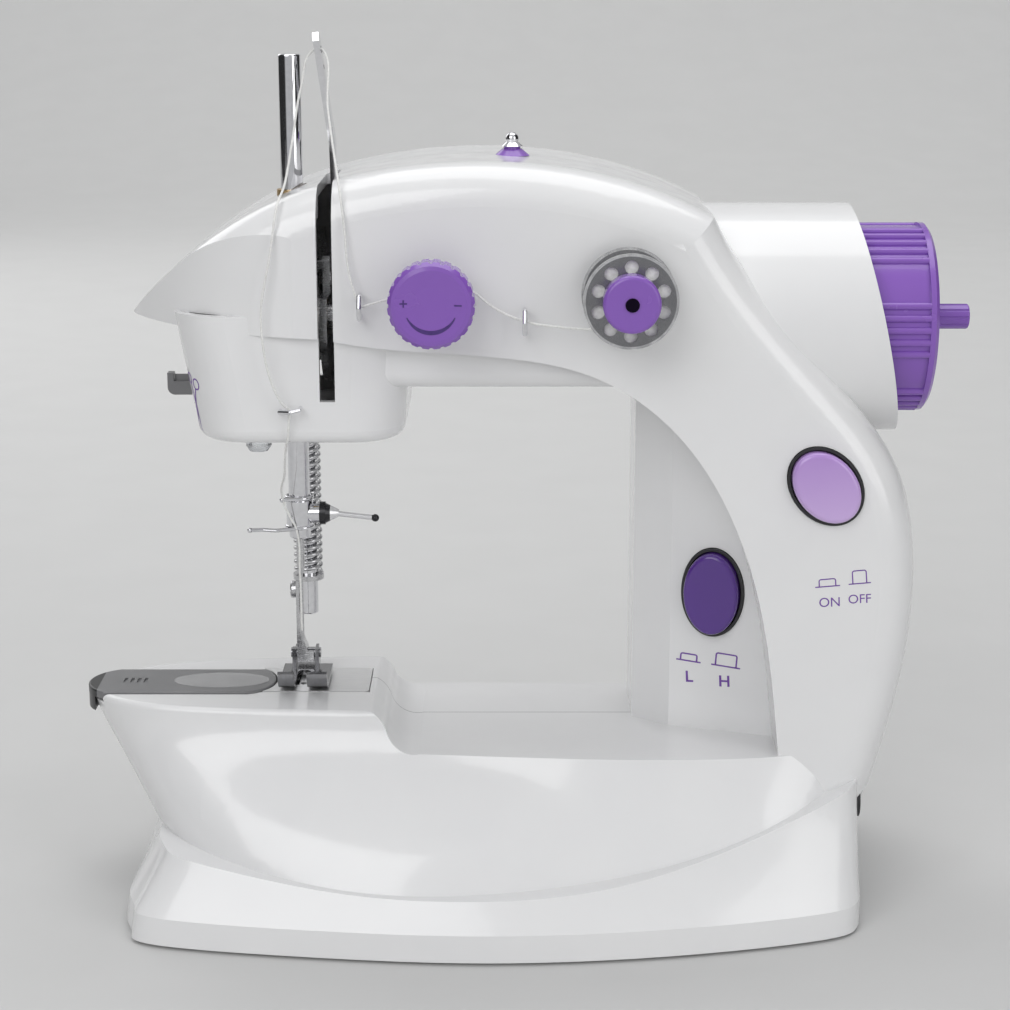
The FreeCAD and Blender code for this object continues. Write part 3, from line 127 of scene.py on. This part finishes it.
def softbox(name, place, target, wide, high, power):
    data = bpy.data.lights.new(name, "AREA")
    data.shape = "RECTANGLE"
    data.size = wide
    data.size_y = high
    data.energy = power
    thing = bpy.data.objects.new(name, data)
    bpy.context.scene.collection.objects.link(thing)
    thing.location = place
    aim(thing, target)


def sky():
    """Soft white surround, darker to both sides, so that round metal shows its shape.

    Seen directly it is one even tone.
    """
    world = bpy.data.worlds.new("studio")
    bpy.context.scene.world = world
    world.use_nodes = True
    nodes = world.node_tree.nodes
    links = world.node_tree.links
    direction = nodes.new("ShaderNodeTexCoord")
    split = nodes.new("ShaderNodeSeparateXYZ")
    side = nodes.new("ShaderNodeMath")
    side.operation = "ABSOLUTE"
    shade = nodes.new("ShaderNodeMapRange")
    shade.interpolation_type = "SMOOTHSTEP"
    shade.inputs["From Min"].default_value = 0.52
    shade.inputs["From Max"].default_value = 0.74
    shade.inputs["To Min"].default_value = SKY
    shade.inputs["To Max"].default_value = SKY * SKY_SIDE_SHARE
    links.new(direction.outputs["Generated"], split.inputs["Vector"])
    links.new(split.outputs["X"], side.inputs[0])
    links.new(side.outputs["Value"], shade.inputs["Value"])
    seen = nodes.new("ShaderNodeMix")
    seen.inputs[3].default_value = SKY_SEEN
    ray = nodes.new("ShaderNodeLightPath")
    links.new(ray.outputs["Is Camera Ray"], seen.inputs[0])
    links.new(shade.outputs["Result"], seen.inputs[2])
    background = nodes["Background"]
    background.inputs["Color"].default_value = (0.97, 0.98, 1.0, 1.0)
    links.new(seen.outputs[0], background.inputs["Strength"])


def sweep_mesh():
    """Paper that lies on the table and rises in a wide curve far behind the machine."""
    mesh = bpy.data.meshes.new("floor")
    bm = bmesh.new()
    line = [(-PAPER_FLAT, 0.0), (PAPER_FLAT, 0.0)]
    for angle in range(5, 91, 5):
        turn = math.radians(angle)
        line.append((PAPER_FLAT + PAPER_CURVE * math.sin(turn),
                     PAPER_CURVE - PAPER_CURVE * math.cos(turn)))
    line.append((PAPER_FLAT + PAPER_CURVE, PAPER_TOP))
    rows = [(bm.verts.new((-PAPER_SIDE, y, z)), bm.verts.new((PAPER_SIDE, y, z)))
            for y, z in line]
    for one, two in zip(rows, rows[1:]):
        bm.faces.new((one[0], one[1], two[1], two[0])).smooth = True
    bm.to_mesh(mesh)
    bm.free()
    return mesh


def studio():
    sky()
    softbox("key", (-0.55, -1.10, 0.85), BOX_TARGET, 1.0, 0.9, KEY)
    softbox("fill", (0.95, -0.90, 0.50), BOX_TARGET, 0.6, 1.0, FILL)
    softbox("top", (0.05, 0.12, 1.00), BOX_TARGET, 0.9, 0.7, TOP)
    softbox("back", (-0.7, 0.85, 0.60), (0.0, 0.0, 0.12), 0.7, 0.7, BACK)
    softbox("backdrop", (0.0, 0.9, 1.3), (0.0, 1.9, 0.5), 2.4, 0.5, BACKDROP)
    bpy.context.scene.view_settings.view_transform = "Standard"
    floor = bpy.data.objects.new("floor", sweep_mesh())
    bpy.context.scene.collection.objects.link(floor)
    mat = Finish("floor_paper", (0.60, 0.60, 0.595), 0.85)
    mat.mottle((0.62, 0.62, 0.615), 30, 0.5)
    floor.data.materials.append(mat.mat)


# ---- materials --------------------------------------------------------------
class Finish:
    """A Principled material that grows its detail from object coordinates in metres."""

    def __init__(self, name, colour, rough, metallic=0.0, coat=0.0, **sockets):
        self.mat = bpy.data.materials.new(name)
        self.mat.use_nodes = True
        self.tree = self.mat.node_tree
        self.bsdf = self.tree.nodes["Principled BSDF"]
        self.rough = rough
        self.set("Base Color", (*colour, 1.0))
        self.set("Roughness", rough)
        self.set("Metallic", metallic)
        self.set("Coat Weight", coat)
        self.set("Coat Roughness", 0.06)
        for socket, value in sockets.items():
            self.set(socket.replace("_", " "), value)
        self.place = self.add("ShaderNodeTexCoord").outputs["Object"]
        self.normal = None

    def set(self, socket, value):
        self.bsdf.inputs[socket].default_value = value

    def add(self, kind, **values):
        node = self.tree.nodes.new(kind)
        for key, value in values.items():
            setattr(node, key, value)
        return node

    def link(self, start, end):
        self.tree.links.new(start, end)

    def noise(self, scale, detail=3.0, stretch=(1, 1, 1)):
        mapping = self.add("ShaderNodeMapping")
        mapping.inputs["Scale"].default_value = stretch
        self.link(self.place, mapping.inputs["Vector"])
        node = self.add("ShaderNodeTexNoise")
        node.inputs["Scale"].default_value = scale
        node.inputs["Detail"].default_value = detail
        self.link(mapping.outputs["Vector"], node.inputs["Vector"])
        return node.outputs["Fac"]

    def ramp(self, factor, low, high, a, b):
        node = self.add("ShaderNodeMapRange")
        node.inputs["From Min"].default_value = low
        node.inputs["From Max"].default_value = high
        node.inputs["To Min"].default_value = a
        node.inputs["To Max"].default_value = b
        self.link(factor, node.inputs["Value"])
        return node.outputs["Result"]

    def mix(self, factor, colour):
        """Mix the present base colour towards another where factor is 1."""
        node = self.add("ShaderNodeMix", data_type="RGBA")
        share, first, second = (node.inputs[i] for i in (0, 6, 7))
        base = self.bsdf.inputs["Base Color"]
        if base.is_linked:
            self.link(base.links[0].from_socket, first)
        else:
            first.default_value = base.default_value
        second.default_value = (*colour, 1.0)
        self.link(factor, share)
        self.link(node.outputs[2], base)

    def mottle(self, colour, scale, amount=1.0, stretch=(1, 1, 1)):
        fac = self.noise(scale, stretch=stretch)
        self.mix(self.ramp(fac, 0.35, 0.65, 0.0, amount), colour)

    def uneven(self, scale, spread, stretch=(1, 1, 1)):
        """Roughness that wanders either side of its set value."""
        fac = self.noise(scale, stretch=stretch)
        low = max(self.rough - spread, 0.02)
        self.link(self.ramp(fac, 0.3, 0.7, low, self.rough + spread),
                  self.bsdf.inputs["Roughness"])

    def bump(self, height, strength, distance):
        node = self.add("ShaderNodeBump")
        node.inputs["Strength"].default_value = strength
        node.inputs["Distance"].default_value = distance
        self.link(height, node.inputs["Height"])
        if self.normal:
            self.link(self.normal, node.inputs["Normal"])
        self.normal = node.outputs["Normal"]
        self.link(self.normal, self.bsdf.inputs["Normal"])

    def grain(self, scale, strength, distance=0.0002, stretch=(1, 1, 1)):
        self.bump(self.noise(scale, 4.0, stretch), strength, distance)

    def axis(self, name):
        split = self.add("ShaderNodeSeparateXYZ")
        self.link(self.place, split.inputs["Vector"])
        return split.outputs[name]

    def maths(self, operation, first, second=None):
        node = self.add("ShaderNodeMath", operation=operation)
        for slot, value in zip(node.inputs, (first, second)):
            if value is None:
                continue
            if isinstance(value, (int, float)):
                slot.default_value = value
            else:
                self.link(value, slot)
        return node.outputs["Value"]

    def near(self, axis, value, width):
        """1 within width of a plane at right angles to an axis."""
        away = self.maths("ABSOLUTE", self.maths("SUBTRACT", self.axis(axis), value))
        return self.maths("LESS_THAN", away, width)


def plastic(name, colour, light, rough=0.16, coat=0.35):
    mat = Finish(name, colour, rough, coat=coat)
    mat.mottle(light, 45, 0.6)
    mat.uneven(160, 0.04)
    mat.grain(1500, 0.05, 0.0001)
    return mat


def brushed(name, colour, rough, stretch, strength=0.12):
    mat = Finish(name, colour, rough, metallic=1.0)
    mat.mottle(tuple(c * 0.8 for c in colour), 300, 0.5, stretch)
    mat.uneven(700, rough * 0.4, stretch)
    mat.grain(1400, strength, 0.0001, stretch)
    return mat


def materials():
    """One finish for each material slot of the record."""
    made = {}
    shell = plastic("white_shell", (0.80, 0.80, 0.805), (0.83, 0.83, 0.83), 0.20, 0.45)
    shell.mix(shell.near("Y", 0.0, SEAM_HALF_WIDTH), (0.30, 0.30, 0.31))
    made["white_shell"] = shell
    made["dark_purple"] = plastic("dark_purple", (0.095, 0.035, 0.26), (0.10, 0.038, 0.27))
    made["purple"] = plastic("purple", (0.235, 0.10, 0.47), (0.245, 0.107, 0.485), 0.24, 0.3)
    lavender = plastic("lavender", (0.44, 0.26, 0.64), (0.50, 0.32, 0.69), 0.14, 0.6)
    rise = lavender.ramp(lavender.axis("Z"), *FADE_Z, 1.0, 0.0)
    lavender.mix(rise, (0.60, 0.43, 0.76))
    made["lavender"] = lavender
    chrome = Finish("chrome", (0.78, 0.78, 0.80), 0.06, metallic=1.0)
    chrome.uneven(500, 0.02)
    chrome.mottle((0.70, 0.70, 0.72), 900, 0.6)
    chrome.grain(900, 0.015, 0.0001)
    made["chrome"] = chrome
    made["steel"] = brushed("steel", (0.62, 0.62, 0.63), 0.24, (1, 1, 6))
    made["dark_steel"] = brushed("dark_steel", (0.30, 0.30, 0.31), 0.16, (5, 1, 1), 0.06)
    made["brass"] = brushed("bronze_bush", (0.62, 0.44, 0.22), 0.34, (1, 1, 1))
    black = Finish("black_plastic", (0.018, 0.018, 0.02), 0.32)
    black.mottle((0.03, 0.03, 0.032), 300)
    black.grain(2500, 0.10)
    made["black_plastic"] = black
    cover = Finish("cover_grey", (0.165, 0.165, 0.17), 0.34, coat=0.15)
    cover.mottle((0.19, 0.19, 0.195), 60)
    cover.grain(3500, 0.12, 0.00008)
    tongue = cover.maths("LESS_THAN", cover.axis("X"), COVER_TONGUE_X)
    cover.mix(tongue, (0.012, 0.012, 0.013))
    made["cover_grey"] = cover
    nylon = Finish("nylon", (0.76, 0.74, 0.66), 0.42, Subsurface_Weight=0.1)
    nylon.mottle((0.80, 0.78, 0.72), 200)
    nylon.grain(2200, 0.08)
    made["nylon"] = nylon
    rubber = Finish("rubber_black", (0.025, 0.025, 0.026), 0.72)
    rubber.mottle((0.05, 0.05, 0.05), 400)
    rubber.grain(2600, 0.25)
    made["rubber_black"] = rubber
    board = Finish("board_green", (0.03, 0.16, 0.06), 0.38, coat=0.4)
    board.mottle((0.06, 0.26, 0.10), 500)
    made["board_green"] = board
    jacket = Finish("cell_jacket", (0.05, 0.055, 0.07), 0.25, metallic=0.3)
    jacket.mottle((0.08, 0.085, 0.10), 80)
    made["cell_jacket"] = jacket
    thread = Finish("thread_white", (0.86, 0.86, 0.84), 0.75, Sheen_Weight=0.3)
    thread.grain(6000, 0.5, 0.00006)
    thread.mottle((0.74, 0.74, 0.72), 2500)
    made["thread_white"] = thread
    lens = Finish("clear_lens", (0.93, 0.95, 0.97), 0.06, Transmission_Weight=0.85, IOR=1.5)
    lens.uneven(600, 0.03)
    made["clear_lens"] = lens
    return made


def winding_finish():
    """Thread wound round a bobbin: fine rings along Y."""
    mat = Finish("wound_thread", (0.88, 0.88, 0.86), 0.72, Sheen_Weight=0.3)
    wave = mat.add("ShaderNodeTexWave", wave_type="BANDS", bands_direction="Y")
    wave.inputs["Scale"].default_value = 900.0
    wave.inputs["Distortion"].default_value = 3.0
    wave.inputs["Detail"].default_value = 2.0
    mat.link(mat.place, wave.inputs["Vector"])
    mat.bump(wave.outputs["Fac"], 0.6, 0.00015)
    mat.mottle((0.72, 0.72, 0.70), 1200, 0.7)
    return mat


def thumb_screw_finish():
    """Dark knob with a bright rod that ends in a dark ball."""
    mat = Finish("thumb_screw_steel", (0.035, 0.035, 0.038), 0.22, metallic=0.6)
    after = mat.maths("GREATER_THAN", mat.axis("X"), ROD_X[0])
    before = mat.maths("LESS_THAN", mat.axis("X"), ROD_X[1])
    mat.mix(mat.maths("MULTIPLY", after, before), (0.74, 0.74, 0.75))
    mat.grain(900, 0.03, 0.00008)
    return mat


def pin_finish():
    """Spool pin: drawn steel, with its end painted near-black as painted shade for the hole
    in the spool cap.
    """
    mat = Finish("spool_pin_steel", (0.55, 0.55, 0.56), 0.25, metallic=1.0)
    mat.grain(900, 0.05, 0.0001)
    # Painted shade: the pin's end is darkened to stand in for the shade in the spool cap's
    # hole.
    mat.mix(mat.maths("LESS_THAN", mat.axis("Y"), PIN_PAINTED_SHADE_Y), (0.012, 0.008, 0.02))
    return mat


def disc_finish():
    """Bobbin flange: steel turned round the winding axis, with a painted highlight on its
    rim.
    """
    mat = Finish("turned_steel", (0.26, 0.26, 0.27), 0.22, metallic=1.0)
    wide = mat.maths("SUBTRACT", mat.axis("X"), BOBBIN_AXIS[0])
    high = mat.maths("SUBTRACT", mat.axis("Z"), BOBBIN_AXIS[1])
    square = mat.maths("ADD", mat.maths("POWER", wide, 2.0), mat.maths("POWER", high, 2.0))
    away = mat.maths("SQRT", square)
    rings = mat.maths("SINE", mat.maths("MULTIPLY", away, TURNING_RINGS))
    # Painted highlight: lighter colour on the flange's rim.
    mat.mix(mat.maths("GREATER_THAN", away, BOBBIN_HIGHLIGHT_RADIUS), (0.70, 0.70, 0.71))
    mat.bump(rings, 0.12, 0.00005)
    mat.mottle((0.20, 0.20, 0.21), 500, 0.4)
    return mat


def plate_finish():
    """Needle plate: pale satin steel, brushed along X."""
    mat = Finish("plate_steel", (0.86, 0.86, 0.86), 0.38, metallic=0.85)
    mat.mottle((0.78, 0.78, 0.79), 300, 0.5, (1, 6, 1))
    mat.grain(1400, 0.05, 0.00008, (1, 8, 1))
    return mat


# ---- making pieces ----------------------------------------------------------
def piece(name, mesh, mat, body=None):
    thing = bpy.data.objects.new(name, mesh)
    bpy.context.scene.collection.objects.link(thing)
    mesh.materials.clear()
    mesh.materials.append(mat)
    if body:
        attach(thing, body)
    return thing


def as_mesh(name, curve):
    """The mesh that a curve or text makes."""
    holder = bpy.data.objects.new(name, curve)
    bpy.context.scene.collection.objects.link(holder)
    bpy.context.view_layer.update()
    seen = holder.evaluated_get(bpy.context.evaluated_depsgraph_get())
    mesh = bpy.data.meshes.new_from_object(seen)
    bpy.data.objects.remove(holder)
    return mesh


def tube(name, points, radius, steps=6):
    """Round tube along a smooth line through points, as a mesh."""
    curve = bpy.data.curves.new(name, "CURVE")
    curve.dimensions = "3D"
    curve.bevel_depth = radius
    curve.bevel_resolution = 3
    curve.resolution_u = steps
    curve.use_fill_caps = True
    line = curve.splines.new("BEZIER")
    line.bezier_points.add(len(points) - 1)
    for point, place in zip(line.bezier_points, points):
        point.co = place
        point.handle_left_type = "AUTO"
        point.handle_right_type = "AUTO"
    mesh = as_mesh(name, curve)
    for face in mesh.polygons:
        face.use_smooth = True
    return mesh


TREES = {}


def surface(node):
    if node not in TREES:
        mesh = NODES[node].data
        TREES[node] = BVHTree.FromPolygons([v.co for v in mesh.vertices],
                                           [p.vertices for p in mesh.polygons])
    return TREES[node]


def print_on(name, flat, node, at, mat, body, way=(0.0, 1.0, 0.0), turn=0.0):
    """Lay flat artwork (u right, v up, in mm) on a node.

    It is seen along way, with its middle at a point in mm, and turned in degrees.
    """
    tree = surface(node)
    spin = math.radians(turn)
    way = Vector(way).normalized()
    right = Vector((way.y, -way.x, 0.0))
    for vertex in flat.vertices:
        u = vertex.co.x * math.cos(spin) - vertex.co.y * math.sin(spin)
        v = vertex.co.x * math.sin(spin) + vertex.co.y * math.cos(spin)
        start = (Vector(at) + right * u + Vector((0, 0, v))) * MM - way * PRINT_START
        hit = tree.ray_cast(start, way)[0]
        vertex.co = hit - way * PRINT_LIFT
    return piece(name, flat, mat, body)


def subdivided(bm, longest):
    """Split long edges, so that artwork follows a curved surface."""
    for _ in range(4):
        long_edges = [e for e in bm.edges if e.calc_length() > longest]
        if not long_edges:
            return
        bmesh.ops.subdivide_edges(bm, edges=long_edges, cuts=1)
    bmesh.ops.triangulate(bm, faces=bm.faces[:])


def ribbons(lines):
    """Flat strokes: each line is points with one width, or with a width for each point."""
    mesh = bpy.data.meshes.new("strokes")
    bm = bmesh.new()
    for points, widths in lines:
        points = [Vector(p) for p in points]
        if not isinstance(widths, (list, tuple)):
            widths = [widths] * len(points)
        sides = []
        for index, point in enumerate(points):
            before = points[max(index - 1, 0)]
            after = points[min(index + 1, len(points) - 1)]
            along = (after - before).normalized()
            across = Vector((-along.y, along.x)) * widths[index] / 2
            sides.append((bm.verts.new((*(point + across), 0)),
                          bm.verts.new((*(point - across), 0))))
        for one, two in zip(sides, sides[1:]):
            bm.faces.new((one[0], one[1], two[1], two[0]))
    subdivided(bm, 1.2)
    bm.to_mesh(mesh)
    bm.free()
    return mesh


def lettering(text, size, weight):
    curve = bpy.data.curves.new(text, "FONT")
    curve.body = text
    curve.size = size
    curve.offset = weight
    curve.align_x = "CENTER"
    curve.align_y = "CENTER"
    curve.resolution_u = 4
    mesh = as_mesh(text, curve)
    bm = bmesh.new()
    bm.from_mesh(mesh)
    subdivided(bm, 1.0)
    bm.to_mesh(mesh)
    bm.free()
    return mesh


def arc(cx, cy, r, start, end, steps):
    turn = [math.radians(start + (end - start) * i / steps) for i in range(steps + 1)]
    return [(cx + r * math.cos(a), cy + r * math.sin(a)) for a in turn]


# ---- printed marks ----------------------------------------------------------
def button_icon(wide, rise, stroke):
    """A push button seen from the side: a cap on a line."""
    half = wide / 2
    round_off = 0.45
    foot = 0.95
    cap = (arc(-half + round_off, rise - round_off, round_off, 180, 90, 4)
           + arc(half - round_off, rise - round_off, round_off, 90, 0, 4))
    return [([(-half, 0.0)] + cap + [(half, 0.0)], stroke),
            ([(-half - foot, 0.0), (half + foot, 0.0)], stroke)]


def shell_marks():
    """ON, OFF, L and H with their button signs, and the scissors sign of the cutter."""
    ink = Finish("purple_ink", (0.16, 0.06, 0.34), 0.5)
    ink.mottle((0.19, 0.08, 0.38), 900)
    shell = "front_shell"
    for name, wide, rise, at, turn, stroke in (
            ("icon_on", 3.7, 1.7, (68.6, 79.3), 5, 0.27),
            ("icon_off", 3.1, 3.0, (75.8, 80.0), 5, 0.27),
            ("icon_low", 3.7, 1.7, (39.4, 55.5), -4, 0.36),
            ("icon_high", 4.7, 3.0, (47.9, 55.0), -4, 0.36)):
        print_on(name, ribbons(button_icon(wide, rise, stroke)), shell, (at[0], 0, at[1]),
                 ink.mat, "frame", turn=turn)
    for name, text, at, size, weight in (
            ("word_on", "ON", (69.2, 75.5), 3.1, 0.0),
            ("word_off", "OFF", (75.9, 76.3), 3.0, 0.0),
            ("letter_low", "L", (39.6, 51.5), 3.8, 0.07),
            ("letter_high", "H", (47.7, 51.2), 3.8, 0.07)):
        print_on(name, lettering(text, size, weight), shell, (at[0], 0, at[1]),
                 ink.mat, "frame", turn=3)
    scissors = [(arc(-1.5, 5.4, 1.2, 0, 360, 20), 0.35),
                (arc(1.6, 4.6, 1.2, 0, 360, 20), 0.35),
                ([(-1.0, 4.2), (-0.2, 0.0), (1.3, -7.0)], (0.4, 0.7, 0.2)),
                ([(1.1, 3.4), (-0.2, -0.6), (-0.7, -7.0)], (0.4, 0.7, 0.2))]
    print_on("cutter_sign", ribbons(scissors), shell, (-72.9, -21.1, 119.6), ink.mat,
             "frame", way=(0.906, 0.423, 0.0), turn=-4)


def knob_marks():
    """Plus, minus and a sweep that swells in its middle, on the tension knob's face."""
    dark = Finish("knob_ink", (0.055, 0.02, 0.16), 0.4)
    dark.mottle((0.07, 0.03, 0.19), 900)
    steps = 20
    widths = [0.22 + 0.7 * math.sin(math.pi * i / steps) for i in range(steps + 1)]
    lines = [([(-6.6, 0.6), (-5.0, 0.6)], 0.32),
             ([(-5.8, 1.4), (-5.8, -0.2)], 0.32),
             ([(4.9, 0.2), (6.5, 0.2)], 0.32),
             (arc(0, 0, 5.6, 205, 335, steps), widths)]
    print_on("knob_marks", ribbons(lines), "tension_knob", (-19.4, 0.0, 145.0), dark.mat,
             "tension_knob")


# ---- pieces that replace or add to the frame --------------------------------
def metres(points):
    return [Vector(p) * MM for p in points]


def threads(mat):
    """The upper thread in three runs: bobbin to tension, over the lever, to the needle."""
    supply = metres([(16.6, -37.0, 138.6), (8.0, -35.0, 138.9), (0.5, -33.4, 139.9),
                     (-6.0, -32.8, 142.6), (-11.6, -32.3, 146.6), (-19.4, -32.25, 148.4),
                     (-27.2, -32.3, 145.2), (-35.3, -33.6, 142.9)])
    line = piece("thread_supply_line", tube("supply", supply, THREAD_RADIUS), mat,
                 "frame")
    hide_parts("thread_supply")

    eye = Vector((-45.13, -8.33, 196.47))
    beside = Vector((0.9, 0, 0))
    over = metres([(-35.3, -33.6, 142.9), (-37.4, -32.0, 150.0), (-38.4, -31.1, 160.0),
                   (-39.2, -29.8, 166.4), (-40.2, -25.6, 171.2), (-42.6, -16.0, 184.0),
                   tuple(eye + beside), tuple(eye - beside), (-48.9, -9.8, 188.5),
                   (-50.8, -14.6, 176.5), (-52.0, -20.0, 168.4), (-53.2, -28.2, 163.6),
                   (-54.2, -30.8, 156.0), (-56.8, -31.3, 138.0), (-53.0, -30.6, 121.5),
                   (-51.2, -29.8, 119.6)])
    lever = piece("thread_lever_line", tube("lever", over, THREAD_RADIUS, 10), mat)
    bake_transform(lever)
    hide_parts("thread_at_lever")

    down = metres([(-51.2, -29.8, 119.6), (-51.8, -28.9, 113.4), (-52.6, -26.0, 110.4),
                   (-54.0, -17.0, 102.0), (-55.4, -8.6, 94.0), (-53.6, -8.7, 89.5),
                   (-52.5, -8.4, 87.2), (-52.0, -6.9, 76.0), (-51.9, -5.8, 61.5)])
    needle = piece("thread_needle_line", tube("needle", down, THREAD_RADIUS), mat)
    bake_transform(needle)
    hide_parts("thread_to_needle")


def spring(mat):
    """The presser spring as a real coil."""
    low, high = COIL_Z
    steps = COIL_TURNS * STEPS_PER_TURN
    points = []
    for step in range(steps + 1):
        angle = 2 * math.pi * step / STEPS_PER_TURN
        points.append(Vector((COIL_AXIS[0] + COIL_RADIUS * math.cos(angle),
                              COIL_AXIS[1] + COIL_RADIUS * math.sin(angle),
                              low + (high - low) * step / steps)))
    thing = piece("presser_spring_coil", tube("coil", points, WIRE_RADIUS, 3), mat,
                  "frame")
    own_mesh(thing)
    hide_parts("presser_spring")


def cover_window():
    """Smoked window let into the bobbin cover, with a bevelled rim."""
    middle = (-71.6, -3.6)
    half = (11.4, 5.6)
    mesh = bpy.data.meshes.new("cover_window")
    bm = bmesh.new()
    rings = []
    for grow, z in ((0.0, 48.30), (0.0, 48.36), (-0.35, 48.42), (-2.2, 48.44)):
        ring = []
        for step in range(WINDOW_SIDES):
            angle = 2 * math.pi * step / WINDOW_SIDES
            ring.append(bm.verts.new(((middle[0] + (half[0] + grow) * math.cos(angle)) * MM,
                                      (middle[1] + (half[1] + grow) * math.sin(angle)) * MM,
                                      z * MM)))
        rings.append(ring)
    for one, two in zip(rings, rings[1:]):
        for i in range(WINDOW_SIDES):
            j = (i + 1) % WINDOW_SIDES
            bm.faces.new((one[i], one[j], two[j], two[i]))
    bm.faces.new(rings[-1])
    bm.to_mesh(mesh)
    bm.free()
    mat = Finish("smoked_window", (0.30, 0.30, 0.305), 0.12, coat=0.6)
    mat.mottle((0.34, 0.34, 0.345), 90)
    piece("cover_window", mesh, mat.mat, "bobbin_cover")


# ---- putting it together ----------------------------------------------------
def main():
    camera()
    studio()
    made = materials()
    slots = {row["node"]: row["material_slot"] for row in frame["record"]["subparts"]}
    special = {"upper_bobbin": disc_finish().mat,
               "needle_plate": plate_finish().mat,
               "needle_clamp_screw": thumb_screw_finish().mat,
               "spool_pin": pin_finish().mat,
               "upper_bobbin_thread": winding_finish().mat}
    for node, thing in NODES.items():
        mat = special.get(node, made[slots[node]].mat)
        thing.data.materials.clear()
        thing.data.materials.append(mat)
    threads(made["thread_white"].mat)
    spring(made["steel"].mat)
    cover_window()
    shell_marks()
    knob_marks()


main()
